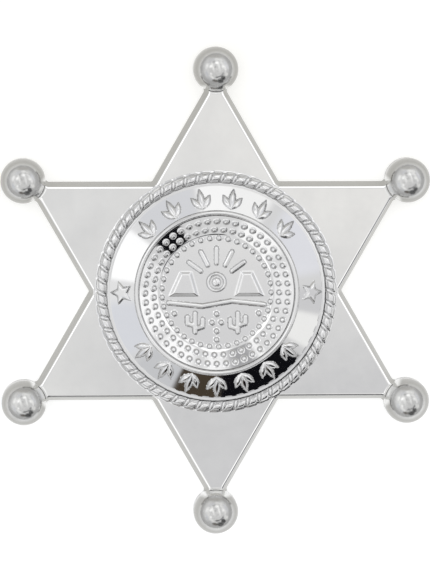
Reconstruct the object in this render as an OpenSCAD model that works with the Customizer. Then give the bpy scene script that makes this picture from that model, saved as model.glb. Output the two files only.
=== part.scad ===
// Six-pointed sheriff star badge with ball tips and a round medallion, in millimetres.
// The badge lies on its back: the star's rim is on z = 0, the front faces +Z and one arm points to +Y.
// The origin is the centre of the star on that back plane.

/* [Star] */
// Height over the upper and the lower ball
overall_h = 76; // [68:1:90]
// Thickness of the star plate
star_t = 3; // [2.8:0.1:4]
// Upright part of the rim below the bevel
rim_h = 0.6; // [0.3:0.1:1]
// Width of the steep bevel, seen from the front
bevel_w = 0.6; // [0.3:0.05:0.9]
// Width and height of the rounded shoulder between bevel and field
shoulder_r = 0.5; // [0.3:0.05:0.7]
// Wall left round the hollow back
wall_t = 1.3; // [1:0.1:1.8]
// Thickness of the star's field over the hollow back
field_t = 1.2; // [0.9:0.1:1.3]

/* [Balls] */
// Diameter of each ball
ball_d = 7; // [5:0.25:8]
// Straight skirt below the half ball
ball_skirt_h = 2.2; // [1.4:0.1:2.8]
// How far each arm's sharp tip stays short of its ball's centre
tip_short = 0.4; // [0:0.1:1]

/* [Medallion] */
// Medallion's centre, to the right of the star's
medallion_x = 0; // [-0.3:0.05:0.3]
// Medallion's centre, above the star's
medallion_y = 0; // [-0.5:0.05:0.5]

/* [Rope] */
// Star field left between the rope and the star's notches
notch_margin = 0.85; // [0.4:0.05:1.5]
// Width of the rope
rope_w = 1.8; // [1.4:0.1:2.4]
// Height of the rope above the field
rope_h = 1.3; // [0.9:0.1:1.8]
// Distance between strands along the rope
strand_pitch = 1.94; // [1.6:0.02:2.6]
// Depth of the grooves between strands
strand_depth = 0.22; // [0.1:0.02:0.34]
// Lean of a strand across the rope, as a share of the pitch
strand_lean = 0.5; // [0.2:0.05:0.9]

/* [Band] */
// Height of the smooth lip beside the rope
lip_h = 0.45; // [0.3:0.05:0.8]
// Width of the smooth lip
lip_w = 0.5; // [0.3:0.05:0.8]
// Width of the sloping band
band_w = 3.65; // [3:0.05:4.5]
// Rise of the sloping band
band_rise = 1.85; // [1.4:0.05:2.4]
// Wall of the band
band_t = 1.1; // [0.8:0.05:1.4]
// Width of the band's foot on the star's field
foot_w = 1.4; // [1:0.1:1.8]
// Height of the ornaments above the band
ornament_h = 0.4; // [0.2:0.05:0.6]
// Length of an upright leaf
leaf_l = 3.6; // [2.6:0.1:3.8]
// Width of a leaf
leaf_w = 1.1; // [0.8:0.05:1.2]
// Width of a five-pointed star over its tips
small_star_d = 3.9; // [3:0.1:4]

/* [Centre disc] */
// Thickness of the bead ring
bezel_d = 0.75; // [0.5:0.05:0.9]
// How deep the bead ring sits in its seat
bezel_sink = 0.4; // [0.2:0.05:0.6]
// Thickness of the centre disc
seal_t = 0.8; // [0.7:0.05:1]
// How far the disc's rim rises above its middle
dish_h = 1.35; // [0.8:0.05:1.5]
// Width of the rising margin of the disc
dish_w = 3.6; // [2.5:0.1:4.5]
// Width of the ledge that the disc rests on
ledge_w = 1; // [0.6:0.1:1.6]
// Thickness of that ledge
ledge_t = 0.9; // [0.7:0.05:1]
// Diameter of a raised dot
dot_d = 1.15; // [0.8:0.05:1.25]
// Distance between dots along a row
dot_pitch = 1.43; // [1.3:0.01:1.8]
// Distance between rows of dots
row_pitch = 1.32; // [1.28:0.02:1.6]
// Height of the raised picture
relief_h = 0.35; // [0.2:0.05:0.6]

/* [Pin] */
// Height of the pin's bar above the star's centre
pin_y = 7; // [5:0.5:9]
// Width of the pin's bar
pin_bar_w = 4.5; // [3:0.5:6]
// Thickness of the pin's bar
pin_bar_t = 0.5; // [0.4:0.05:0.6]
// Thickness of the pin's wire
pin_wire_d = 0.8; // [0.6:0.05:0.9]

/* [Hidden] */

arm_count = 6;
// clearance between neighbouring pieces
fit_gap = 0.05;
// overlap of solids that are joined or cut
sink = 0.3;
far = 200;

// star outline: two equal triangles, whose edges lie at one distance from the centre
ball_ring_r = (overall_h - ball_d) / 2;
star_edge = (ball_ring_r - tip_short) / 2;
notch_r = 2 * star_edge / sqrt(3);
hollow_edge = star_edge - wall_t;
hollow_h = star_t - field_t;
hollow_reach = ball_ring_r - ball_d / 2 - wall_t;
shoulder_steps = 3;

// medallion radii, from the rope inwards
rope_outer_r = notch_r - notch_margin;
rope_r = rope_outer_r - rope_w / 2;
band_outer_r = rope_outer_r - rope_w - fit_gap;
slope_outer_r = band_outer_r - lip_w;
slope_inner_r = slope_outer_r - band_w;
foot_inner_r = band_outer_r - foot_w;
window_r = foot_inner_r - foot_w / 2;
bezel_r = slope_inner_r - bezel_d / 2 - fit_gap;
seal_r = slope_inner_r - bezel_d - 2 * fit_gap;
dish_flat_r = seal_r - dish_w;

// heights, from the star's field upwards
seat_z = star_t + fit_gap;
slope_low_z = seat_z + lip_h;
slope_high_z = slope_low_z + band_rise;
bezel_seat_z = slope_high_z - bezel_sink;
slope_angle = atan(band_rise / band_w);
seal_rim_z = slope_high_z;
seal_mid_z = seal_rim_z - dish_h;
ledge_z = seal_mid_z - seal_t - fit_gap;
// width over which the disc's flat middle turns into its straight sloping margin
dish_blend = 0.8;
dish_blend_steps = 4;

// rope: rings of points along the rope, and points across its arched top
strand_count = round(360 / (2 * asin(strand_pitch / (2 * rope_r))));
strand_angle = 360 / strand_count;
strand_rings = 4;
arch_steps = 6;
// share of the rope's height that is its upright side
rope_side = 0.25;

// ornaments: places as clock angles in degrees, measured from the top arm
upper_sprigs = 6;
upper_pitch = 19;
lower_sprigs = 7;
lower_pitch = 17;
sprig_places = concat(
    [for (k = [0 : upper_sprigs - 1]) (k - (upper_sprigs - 1) / 2) * upper_pitch],
    [for (k = [0 : lower_sprigs - 1]) 180 + (k - (lower_sprigs - 1) / 2) * lower_pitch]
);
small_star_places = [90, 270];
// side leaves of a sprig: lean, and size as a share of the middle leaf
side_leaf_lean = 34;
side_leaf_share = 0.78;
leaf_steps = 6;
// inner radius and blunt tip radius of a five-pointed star, as shares of its own radius
small_star_waist = 0.46;
small_star_blunt = 0.93;

// rows of dots, and the round space that they leave for the picture
dot_rows = 3;
dot_margin = 0.3;
dot_row_r = seal_r - dot_d / 2 - dot_margin;
dot_sink = 0.12;
picture_r = dot_row_r - (dot_rows - 1) * row_pitch - dot_d / 2;
// picture, as shares of picture_r: a sun between two table hills, over a ground line and two tall cacti
stroke_w = 0.105;
end_steps = 4;
sun_y = 0.2;
sun_r = 0.2;
sun_well_r = 0.13;
sun_dome_r = 0.09;
ray_from = 0.33;
ray_to = 0.72;
ray_angles = [36, 63, 90, 117, 144];
// hill outline: [distance from the middle, height above the picture's centre]
HILL = [[0.34, -0.08], [0.48, 0.42], [0.72, 0.42], [0.95, -0.08]];
hill_top_share = 0.74;
// ground line: [distance to the right, height above the picture's centre]
GROUND = [[-0.94, -0.2], [-0.28, -0.27], [0.3, -0.17], [0.94, -0.24]];
// cacti: place of the root
cactus_x = 0.42;
cactus_y = -0.78;
// trunk and two arms of a cactus, as lines from the root: [outwards, upwards]
CACTUS = [
    [[0, 0], [0, 0.37]],
    [[0, 0.06], [-0.15, 0.11], [-0.15, 0.25]],
    [[0, 0.12], [0.15, 0.17], [0.15, 0.3]],
];
// loose dots: [distance to the right, height above the picture's centre]
LOOSE_DOTS = [
    [0, -0.42], [-0.09, -0.59], [0.09, -0.59], [0, -0.76], [0, -0.93], [-0.83, -0.41], [0.83, -0.41],
];

// pin
pin_low_z = 0.2;
pin_wire_z = pin_low_z + pin_wire_d / 2;
pin_bar_top = hollow_h - fit_gap;
pin_end_gap = 0.6;
pin_bar_half = (pin_y - pin_bar_w / 2 + 2 * hollow_edge) * tan(30) - pin_end_gap;
pin_lug_l = 2.4;
pin_lug_w = 2.6;
pin_lug_inset = 0.8;

// corners of a six-pointed star whose long edges lie at distance edge from the centre
function star_points(edge) = [
    for (k = [0 : 2 * arm_count - 1])
        let (r = k % 2 == 0 ? 2 * edge : 2 * edge / sqrt(3), a = 90 + 180 * k / arm_count)
            [r * cos(a), r * sin(a)]
];

// one closed skin through equal loops of points, with a flat lid at each end
module loft(loops) {
    n = len(loops[0]);
    last = (len(loops) - 1) * n;
    polyhedron(
        points = [for (loop = loops) each loop],
        faces = concat(
            [[for (k = [0 : n - 1]) k]],
            [for (i = [0 : len(loops) - 2], k = [0 : n - 1])
                [i * n + k, (i + 1) * n + k, (i + 1) * n + (k + 1) % n, i * n + (k + 1) % n]],
            [[for (k = [n - 1 : -1 : 0]) last + k]]
        )
    );
}

// a three-cornered block with the star's rim, bevel and rounded shoulder
module bevelled_triangle(turn) {
    shoulder_z = star_t - shoulder_r;
    levels = concat(
        [[0, star_edge], [rim_h, star_edge]],
        [for (k = [0 : shoulder_steps])
            let (a = 90 * k / shoulder_steps)
                [shoulder_z + shoulder_r * sin(a), star_edge - bevel_w - shoulder_r * (1 - cos(a))]]
    );
    loft([
        for (level = levels)
            [for (k = [0 : 2])
                let (a = turn + 120 * k)
                    [2 * level[1] * cos(a), 2 * level[1] * sin(a), level[0]]]
    ]);
}

// star with a hollow back, a window under the medallion and a round seat for each ball
module star_plate() {
    color("silver")
        difference() {
            union() {
                bevelled_triangle(90);
                bevelled_triangle(-90);
            }
            intersection() {
                translate([0, 0, -sink])
                    linear_extrude(hollow_h + sink)
                        polygon(star_points(hollow_edge));
                cylinder(h = far, r = hollow_reach, center = true, $fn = 96);
            }
            at_medallion()
                cylinder(h = far, r = window_r, center = true, $fn = 96);
            for (k = [0 : arm_count - 1])
                at_ball(k)
                    cylinder(h = far, d = ball_d + 2 * fit_gap, center = true, $fn = 64);
        }
}

// moves its children to the medallion's centre
module at_medallion() {
    translate([medallion_x, medallion_y, 0])
        children();
}

// moves its children to ball number k, counted clockwise from the top
module at_ball(k) {
    rotate(-60 * k)
        translate([0, ball_ring_r, 0])
            children();
}

module tip_ball(k) {
    color("silver")
        at_ball(k) {
            cylinder(h = ball_skirt_h, d = ball_d, $fn = 64);
            intersection() {
                translate([0, 0, ball_skirt_h])
                    sphere(d = ball_d, $fn = 64);
                cylinder(h = ball_d, d = ball_d + sink, $fn = 64);
            }
        }
}

// one loop of points across the rope: over the arch from outside to inside, then along the foot
function rope_section(i) =
    let (
        crown = (i % strand_rings) / strand_rings,
        swell = 1 - strand_depth * (1 - sin(180 * crown)),
        side_h = rope_h * rope_side,
        arch = [for (j = [0 : arch_steps])
            let (a = 180 * j / arch_steps, rise = (rope_h - side_h) * swell * sin(a))
                [rope_w / 2 * swell * cos(a), side_h + rise, j / arch_steps - 0.5]],
        foot = [[-rope_w / 2 * swell, 0, 0.5], [rope_w / 2 * swell, 0, -0.5]]
    )
    [for (p = concat(arch, foot))
        let (a = strand_angle * (i / strand_rings + strand_lean * p[2]))
            [(rope_r + p[0]) * cos(a), (rope_r + p[0]) * sin(a), seat_z + p[1]]];

// twisted rope, closed on itself
module rope_border() {
    rings = strand_count * strand_rings;
    n = arch_steps + 3;
    color("silver") at_medallion()
        polyhedron(
            points = [for (i = [0 : rings - 1]) each rope_section(i)],
            faces = [for (i = [0 : rings - 1], j = [0 : n - 1])
                let (a = i * n, b = ((i + 1) % rings) * n, next = (j + 1) % n)
                    each [[a + j, b + j, b + next], [a + j, b + next, a + next]]]
        );
}

// moves its children onto the sloping band: +Y points down the slope and +Z out of it
module on_band(clock) {
    rotate(-clock)
        translate([0, (slope_outer_r + slope_inner_r) / 2, (slope_low_z + slope_high_z) / 2])
            rotate([-slope_angle, 0, 0])
                children();
}

// leaf with two arched sides and two points, centred
module leaf(length, width) {
    half = [for (k = [0 : leaf_steps])
        [width / 2 * sin(180 * k / leaf_steps), length * (k / leaf_steps - 0.5)]];
    polygon(concat(half, [for (k = [leaf_steps - 1 : -1 : 1]) [-half[k][0], half[k][1]]]));
}

// three leaves that spread from one foot
module sprig() {
    side_l = leaf_l * side_leaf_share;
    leaf(leaf_l, leaf_w);
    for (side = [-1, 1])
        translate([0, -leaf_l / 2])
            rotate(side * side_leaf_lean)
                translate([0, side_l / 2])
                    leaf(side_l, leaf_w);
}

// five-pointed star with blunt tips
module small_star() {
    r = small_star_d / 2;
    intersection() {
        polygon([for (k = [0 : 9])
            let (reach = k % 2 == 0 ? r / small_star_blunt : r * small_star_waist, a = 90 + 36 * k)
                [reach * cos(a), reach * sin(a)]]);
        circle(r = r, $fn = 48);
    }
}

// sloping ring with the ornaments, a seat for the bead ring and a ledge for the centre disc
module medallion_band() {
    color("silver") at_medallion()
        union() {
            rotate_extrude($fn = 128)
                polygon([
                    [foot_inner_r, seat_z],
                    [band_outer_r, seat_z],
                    [band_outer_r, slope_low_z - lip_w / 2],
                    [band_outer_r - lip_w / 2, slope_low_z],
                    [slope_outer_r, slope_low_z],
                    [slope_inner_r, slope_high_z],
                    [slope_inner_r, bezel_seat_z],
                    [seal_r + fit_gap, bezel_seat_z],
                    [seal_r + fit_gap, ledge_z],
                    [seal_r - ledge_w, ledge_z],
                    [seal_r - ledge_w, ledge_z - ledge_t],
                    [slope_inner_r - band_t / 2, ledge_z - ledge_t],
                    [foot_inner_r, seat_z + lip_h / 2],
                ]);
            for (clock = sprig_places)
                on_band(clock)
                    translate([0, 0, -sink])
                        linear_extrude(ornament_h + sink)
                            sprig();
            for (clock = small_star_places)
                on_band(clock)
                    translate([0, 0, -sink])
                        linear_extrude(ornament_h + sink)
                            small_star();
        }
}

// round bead between the band and the centre disc
module bezel_ring() {
    color("silver") at_medallion()
        rotate_extrude($fn = 128)
            translate([bezel_r, bezel_seat_z + bezel_d / 2 + fit_gap])
                circle(d = bezel_d, $fn = 32);
}

// height of the disc's top at radius r
function dish_z(r) =
    let (run = max(0, r - dish_flat_r), steepness = dish_h / (dish_w - dish_blend / 2))
        seal_mid_z + steepness * (run < dish_blend ? pow(run, 2) / (2 * dish_blend) : run - dish_blend / 2);

module seal_dots() {
    for (row = [0 : dot_rows - 1]) {
        row_r = dot_row_r - row * row_pitch;
        count = floor(2 * PI * row_r / dot_pitch);
        for (k = [0 : count - 1])
            rotate(360 * k / count)
                translate([row_r, 0, dish_z(row_r) - dot_sink])
                    sphere(d = dot_d, $fn = 24);
    }
}

// bar with round ends along +X, centred
module capsule(length, width) {
    polygon([
        for (side = [0, 180], k = [0 : end_steps])
            let (a = side - 90 + 180 * k / end_steps, centre_x = (length - width) / 2 * cos(side))
                [centre_x + width / 2 * cos(a), width / 2 * sin(a)]
    ]);
}

// bar with round ends from one point to another
module stroke(from, to, width) {
    run = to - from;
    translate((from + to) / 2)
        rotate(atan2(run[1], run[0]))
            capsule(norm(run) + width, width);
}

// outline of the generic picture's flat bars and rings, one unit being the picture's radius
module picture_lines() {
    for (a = ray_angles)
        translate([0, sun_y])
            rotate(a)
                translate([(ray_from + ray_to) / 2, 0])
                    capsule(ray_to - ray_from, stroke_w);
    for (k = [0 : len(GROUND) - 2])
        stroke(GROUND[k], GROUND[k + 1], stroke_w);
    for (side = [-1, 1], line = CACTUS, k = [0 : len(line) - 2])
        translate([side * cactus_x, cactus_y])
            stroke([side * line[k][0], line[k][1]], [side * line[k + 1][0], line[k + 1][1]], stroke_w);
}

// table hill on one side of the sun: a block whose sides lean inwards
module hill(side) {
    outline = [for (p = HILL) picture_r * [side * p[0], p[1]]];
    middle = (outline[0] + outline[1] + outline[2] + outline[3]) / 4;
    ordered = side > 0 ? [for (k = [len(outline) - 1 : -1 : 0]) outline[k]] : outline;
    loft([
        for (level = [[-sink, 1], [0, 1], [relief_h, hill_top_share]])
            [for (p = ordered) concat(middle + level[1] * (p - middle), seal_mid_z + level[0])]
    ]);
}

// sun: a round rim with a dome in it
module sun() {
    translate([0, sun_y * picture_r, seal_mid_z])
        difference() {
            translate([0, 0, -sink])
                cylinder(h = relief_h + sink, r = sun_r * picture_r, $fn = 48);
            cylinder(h = relief_h + sink, r = sun_well_r * picture_r, $fn = 48);
        }
    translate([0, sun_y * picture_r, seal_mid_z - dot_sink])
        sphere(r = sun_dome_r * picture_r, $fn = 32);
}

module seal_picture() {
    translate([0, 0, seal_mid_z - sink])
        linear_extrude(relief_h + sink)
            scale(picture_r)
                picture_lines();
    hill(-1);
    hill(1);
    sun();
    for (p = LOOSE_DOTS)
        translate([p[0] * picture_r, p[1] * picture_r, seal_mid_z - dot_sink])
            sphere(d = dot_d, $fn = 24);
}

// dished disc with raised dots round its margin and the raised picture
module seal_disc() {
    color("silver") at_medallion()
        union() {
            rotate_extrude($fn = 128)
                polygon(concat(
                    [[0, ledge_z + fit_gap], [seal_r, ledge_z + fit_gap], [seal_r, dish_z(seal_r)]],
                    [for (k = [dish_blend_steps : -1 : 0])
                        let (r = dish_flat_r + dish_blend * k / dish_blend_steps)
                            [r, dish_z(r)]],
                    [[0, seal_mid_z]]
                ));
            seal_dots();
            seal_picture();
        }
}

// flat bar with two lugs and a wire between them, all inside the hollow back
module pin_back() {
    lug_x = pin_bar_half - pin_lug_inset - pin_lug_l / 2;
    color("gray")
        translate([0, pin_y, 0])
            union() {
                translate([-pin_bar_half, -pin_bar_w / 2, pin_bar_top - pin_bar_t])
                    cube([2 * pin_bar_half, pin_bar_w, pin_bar_t]);
                for (side = [-1, 1])
                    translate([side * lug_x - pin_lug_l / 2, -pin_lug_w / 2, pin_low_z])
                        cube([pin_lug_l, pin_lug_w, pin_bar_top - pin_low_z]);
                translate([0, 0, pin_wire_z])
                    rotate([0, 90, 0])
                        cylinder(h = 2 * lug_x, d = pin_wire_d, center = true, $fn = 32);
            }
}

star_plate();
tip_ball(0);  // tip_ball_1
tip_ball(1);  // tip_ball_2
tip_ball(2);  // tip_ball_3
tip_ball(3);  // tip_ball_4
tip_ball(4);  // tip_ball_5
tip_ball(5);  // tip_ball_6
rope_border();
medallion_band();
bezel_ring();
seal_disc();
pin_back();
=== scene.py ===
"""Looks, floor, light and camera of the six-pointed sheriff star badge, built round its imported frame.

Sizes are in millimetres until a mesh is made. The badge lies on its back, one arm pointing to +Y.
Clock angles are in degrees, clockwise from the top arm, as the badge is seen from the front.
"""

import math

import bmesh
import bpy
import numpy as np
from mathutils import Matrix, Vector, geometry


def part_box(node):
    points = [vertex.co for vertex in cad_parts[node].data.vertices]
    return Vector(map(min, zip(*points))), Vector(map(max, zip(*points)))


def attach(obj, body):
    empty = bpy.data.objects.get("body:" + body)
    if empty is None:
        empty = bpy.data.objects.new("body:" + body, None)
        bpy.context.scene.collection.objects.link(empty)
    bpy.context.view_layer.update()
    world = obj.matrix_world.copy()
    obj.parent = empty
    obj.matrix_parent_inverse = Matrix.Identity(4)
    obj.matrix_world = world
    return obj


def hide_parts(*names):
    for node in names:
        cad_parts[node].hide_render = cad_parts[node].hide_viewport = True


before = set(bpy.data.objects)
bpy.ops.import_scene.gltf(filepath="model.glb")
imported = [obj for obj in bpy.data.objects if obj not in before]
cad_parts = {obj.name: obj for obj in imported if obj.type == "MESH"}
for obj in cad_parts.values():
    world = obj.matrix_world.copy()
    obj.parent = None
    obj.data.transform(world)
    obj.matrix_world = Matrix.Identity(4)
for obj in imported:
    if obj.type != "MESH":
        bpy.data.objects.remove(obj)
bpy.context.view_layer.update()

MM = 0.001
BODY = "root"
ARMS = 6
MERGE_DIST = 1e-4
# corners up to these angles are shaded smooth, on plain pieces and on those made by Geometry Nodes
SMOOTH_ANGLE = math.radians(38)
SMOOTH_ANGLE_NODES = math.radians(60)


def box_mm(node):
    """Lowest and highest corner of a node of the frame, in millimetres."""
    low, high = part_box(node)
    return np.array(low) / MM, np.array(high) / MM


# balls
ball_low, ball_high = box_mm("tip_ball_1")
ball_r = (ball_high[0] - ball_low[0]) / 2
ball_ring_r = (ball_low[1] + ball_high[1]) / 2
ball_skirt_h = ball_high[2] - ball_r
BALL_EDGE_R = 0.15
# the moulded back of a ball is a little hollow
BALL_SINK = 0.12
BALL_SINK_R = 2.7
BALL_SINK_EDGE_W = 0.25
BALL_SINK_FILLET = 0.3
BALL_SINK_EDGE_R = 0.1
BALL_RINGS = 40
BALL_SIDES = 128

# star plate
star_top = box_mm("star_plate")[1][2]
TIP_SHORT = 0.4
star_edge = (ball_ring_r - TIP_SHORT) / 2
notch_r = star_edge / math.cos(math.radians(30))
RIM_H = 0.6
FIELD_INSET = 0.95
# narrow flat land between the steep bevel and the field, which lies a hair lower than the land's inner edge
LAND_W = 0.28
LAND_TILT = 17
RIDGE_W = 0.13
RIDGE_H = 0.03
SHOULDER_R = 0.12
RIDGE_R = 0.04
BEVEL_R = 0.15
BACK_RIM_R = 0.08
HOLLOW_R = 0.3
NOTCH_FILLET = 0.4
NECK_FILLET = 0.6
SEAT_GAP = 0.05
SEAT_INSET = LAND_W - 0.02
WALL_T = 1.3
FIELD_T = 1.2
WINDOW_SIDES = 192
# how far the tip of an arm droops below the field's middle
ARM_DROOP = 0.1
DROOP_FROM = 19.0
DROOP_TO = 31.0

# medallion
band_low, band_high = box_mm("medallion_band")
medallion_x = (band_low[0] + band_high[0]) / 2
medallion_y = (band_low[1] + band_high[1]) / 2
band_outer_r = (band_high[0] - band_low[0]) / 2
FIT_GAP = 0.05
seat_z = star_top + FIT_GAP
ROPE_W = 1.8
rope_h = box_mm("rope_border")[1][2] - seat_z
rope_r = band_outer_r + FIT_GAP + ROPE_W / 2
STRAND_PITCH = 1.94
strand_count = round(math.pi / math.asin(STRAND_PITCH / (2 * rope_r)))
LIP_W = 0.5
LIP_H = 0.45
LIP_R = 0.2
LIP_EDGE_R = 0.1
FOOT_W = 1.4
FOOT_R = 0.05
BAND_T = 1.1
bezel_low, bezel_high = box_mm("bezel_ring")
bezel_d = bezel_high[2] - bezel_low[2]
bezel_r = (bezel_high[0] - bezel_low[0] - bezel_d) / 2
seal_low, seal_high = box_mm("seal_disc")
seal_r = (seal_high[0] - seal_low[0]) / 2
seal_bottom = seal_low[2]
slope_outer_r = band_outer_r - LIP_W
slope_inner_r = bezel_r + bezel_d / 2 + FIT_GAP
slope_low_z = seat_z + LIP_H
BEZEL_SINK = 0.4
slope_high_z = bezel_low[2] - FIT_GAP + BEZEL_SINK
slope_angle = math.atan2(slope_high_z - slope_low_z, slope_outer_r - slope_inner_r)
window_r = band_outer_r - FOOT_W * 1.5
LEDGE_W = 1.0
LEDGE_T = 0.9
LEDGE_R = 0.1
BAND_BACK_R = 0.3


def clock(angle):
    """Unit vector at a clock angle."""
    turn = math.radians(angle)
    return np.array([math.sin(turn), math.cos(turn)])


def linear(hex_text):
    """Linear RGBA of an sRGB hex colour."""
    parts = [int(hex_text[k:k + 2], 16) / 255 for k in (1, 3, 5)]
    return [c / 12.92 if c <= 0.04045 else ((c + 0.055) / 1.055) ** 2.4 for c in parts] + [1.0]


def add_node(tree, kind, settings=None, inputs=None):
    """Adds a node to a tree. An input's value is a number or colour, or another node's output socket."""
    node = tree.nodes.new(kind)
    for name, value in (settings or {}).items():
        setattr(node, name, value)
    for key, value in (inputs or {}).items():
        if isinstance(value, bpy.types.NodeSocket):
            tree.links.new(value, node.inputs[key])
        else:
            node.inputs[key].default_value = value
    return node


def vector_math(tree, operation, *given):
    """Socket of a vector operation: the value of a length or a dot product, or else the vector."""
    node = add_node(tree, "ShaderNodeVectorMath", {"operation": operation}, dict(enumerate(given)))
    return node.outputs["Value" if operation in ("LENGTH", "DOT_PRODUCT") else "Vector"]


def eased(tree, value, low, high, start=0.0, end=1.0):
    """Socket that goes smoothly from start to end while the value goes from low to high."""
    return add_node(tree, "ShaderNodeMapRange", {"interpolation_type": "SMOOTHSTEP"}, {
        "Value": value, "From Min": low, "From Max": high, "To Min": start, "To Max": end}).outputs["Result"]


def blended(tree, share, first, second):
    """Socket of two colours mixed by a share."""
    return add_node(tree, "ShaderNodeMix", {"data_type": "RGBA"}, {
        "Factor": share, "A": first, "B": second}).outputs["Result"]


def noise(tree, place, scale, detail, roughness):
    """Socket of a soft noise between 0 and 1."""
    return add_node(tree, "ShaderNodeTexNoise", inputs={
        "Vector": place, "Scale": scale, "Detail": detail, "Roughness": roughness}).outputs["Fac"]


def haze(tree, source, least, most):
    """Socket of a roughness between least and most, spread by a noise."""
    return add_node(tree, "ShaderNodeMapRange", inputs={
        "Value": source, "From Min": 0.3, "From Max": 0.7, "To Min": least, "To Max": most}).outputs["Result"]


def rounded(corners, steps=4):
    """Line through corners, each given as (point, radius), with its corners turned into arcs."""
    line = [np.array(corners[0][0], float)]
    for before, corner, after in zip(corners, corners[1:], corners[2:]):
        here = np.array(corner[0], float)
        back = np.array(before[0], float) - here
        ahead = np.array(after[0], float) - here
        back /= np.linalg.norm(back)
        ahead /= np.linalg.norm(ahead)
        half = math.acos(max(-1.0, min(1.0, back @ ahead))) / 2
        radius = corner[1]
        if radius == 0 or half > math.radians(89.9):
            line.append(here)
            continue
        middle = (back + ahead) / np.linalg.norm(back + ahead)
        centre = here + middle * radius / math.sin(half)
        across = ahead - back
        across /= np.linalg.norm(across)
        sweep = math.pi / 2 - half
        for k in range(steps + 1):
            angle = sweep * (2 * k / steps - 1)
            line.append(centre + radius * (across * math.sin(angle) - middle * math.cos(angle)))
    line.append(np.array(corners[-1][0], float))
    return line


def skin(rows, wrap=False):
    """Points and faces of a skin through loops of equal length. wrap joins the last loop to the first."""
    rows = np.asarray(rows, float)
    count, n = rows.shape[:2]
    faces = []
    for i in range(count if wrap else count - 1):
        a = i * n
        b = (i + 1) % count * n
        faces += [(a + k, a + (k + 1) % n, b + (k + 1) % n, b + k) for k in range(n)]
    return rows.reshape(-1, 3), faces


def lathe(profile, segments):
    """Loops of points round the Z axis, one for each (radius, height) of the profile."""
    turn = np.linspace(0, 2 * math.pi, segments, endpoint=False)
    return [np.column_stack([r * np.cos(turn), r * np.sin(turn), np.full(segments, z)]) for r, z in profile]


def ring(r, z, turn):
    """Loop of points round the Z axis at clock angles turn in radians, at radii r and heights z."""
    return np.column_stack([r * np.sin(turn), r * np.cos(turn), np.broadcast_to(z, turn.shape)])


def joined(*parts):
    """One set of points and faces from several."""
    points = []
    faces = []
    for part_points, part_faces in parts:
        start = sum(len(p) for p in points)
        points.append(np.asarray(part_points, float))
        faces += [tuple(start + k for k in face) for face in part_faces]
    return np.concatenate(points), faces


def close_mesh(mesh, smooth_angle):
    """Merges doubles, turns the faces outwards and shades them smooth up to an angle."""
    work = bmesh.new()
    work.from_mesh(mesh)
    bmesh.ops.remove_doubles(work, verts=work.verts, dist=MERGE_DIST * MM)
    bmesh.ops.recalc_face_normals(work, faces=work.faces)
    work.to_mesh(mesh)
    work.free()
    mesh.polygons.foreach_set("use_smooth", [True] * len(mesh.polygons))
    mesh.set_sharp_from_angle(angle=smooth_angle)


def make_piece(name, points, faces, material, place=(0, 0, 0)):
    """Object with its place in its mesh, closed, its faces outwards and its hard corners kept."""
    mesh = bpy.data.meshes.new(name)
    mesh.from_pydata(((np.asarray(points) + np.array(place)) * MM).tolist(), [], faces)
    close_mesh(mesh, SMOOTH_ANGLE)
    mesh.materials.append(material)
    piece = bpy.data.objects.new(name, mesh)
    bpy.context.scene.collection.objects.link(piece)
    return piece


def set_down(piece, place):
    """Moves a piece made by Geometry Nodes to its place in its mesh, and closes it."""
    piece.data.transform(Matrix.Translation(Vector(place) * MM))
    close_mesh(piece.data, SMOOTH_ANGLE_NODES)


def settle(piece, modifier):
    """Turns what the piece's Geometry Nodes make into its plain mesh."""
    depsgraph = bpy.context.evaluated_depsgraph_get()
    mesh = bpy.data.meshes.new_from_object(piece.evaluated_get(depsgraph))
    piece.modifiers.remove(modifier)
    piece.data = mesh
    return piece


def mount(piece, slot, *nodes):
    """The piece rides on the badge and stands for its nodes, which it hides. slot is not used."""
    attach(piece, BODY)
    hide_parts(*nodes)


def new_material(name):
    """Empty material, with its tree, its output and the object coordinates."""
    material = bpy.data.materials.new(name)
    material.use_nodes = True
    tree = material.node_tree
    tree.nodes.clear()
    output = add_node(tree, "ShaderNodeOutputMaterial")
    place = add_node(tree, "ShaderNodeTexCoord").outputs["Object"]
    return material, tree, output, place


# how much wider the dull clouds of the plating are than the ripples under it
CLOUD_SPREAD = 1.6
# upward part of a surface's normal at which the painted side tone is full, and at which the film's own tone
# is whole
PAINTED_SIDE_UPRIGHT = (0.5, 0.8)
# how squarely a steep side faces the badge's middle, from wholly to not at all; this places the second
# painted side tone
FACING_IN = (-0.8, -0.6)
# drawn lines of the steel: their width and their length
DRAWN_W = 0.12
DRAWN_L = 6.0


def facing_middle(tree, place, facing):
    """Socket that is 1 on steep sides that face the badge's middle and 0 elsewhere."""
    outward = vector_math(tree, "NORMALIZE", vector_math(tree, "MULTIPLY", place, (1, 1, 0)))
    return eased(tree, vector_math(tree, "DOT_PRODUCT", facing, outward), *FACING_IN, 1.0, 0.0)


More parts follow.
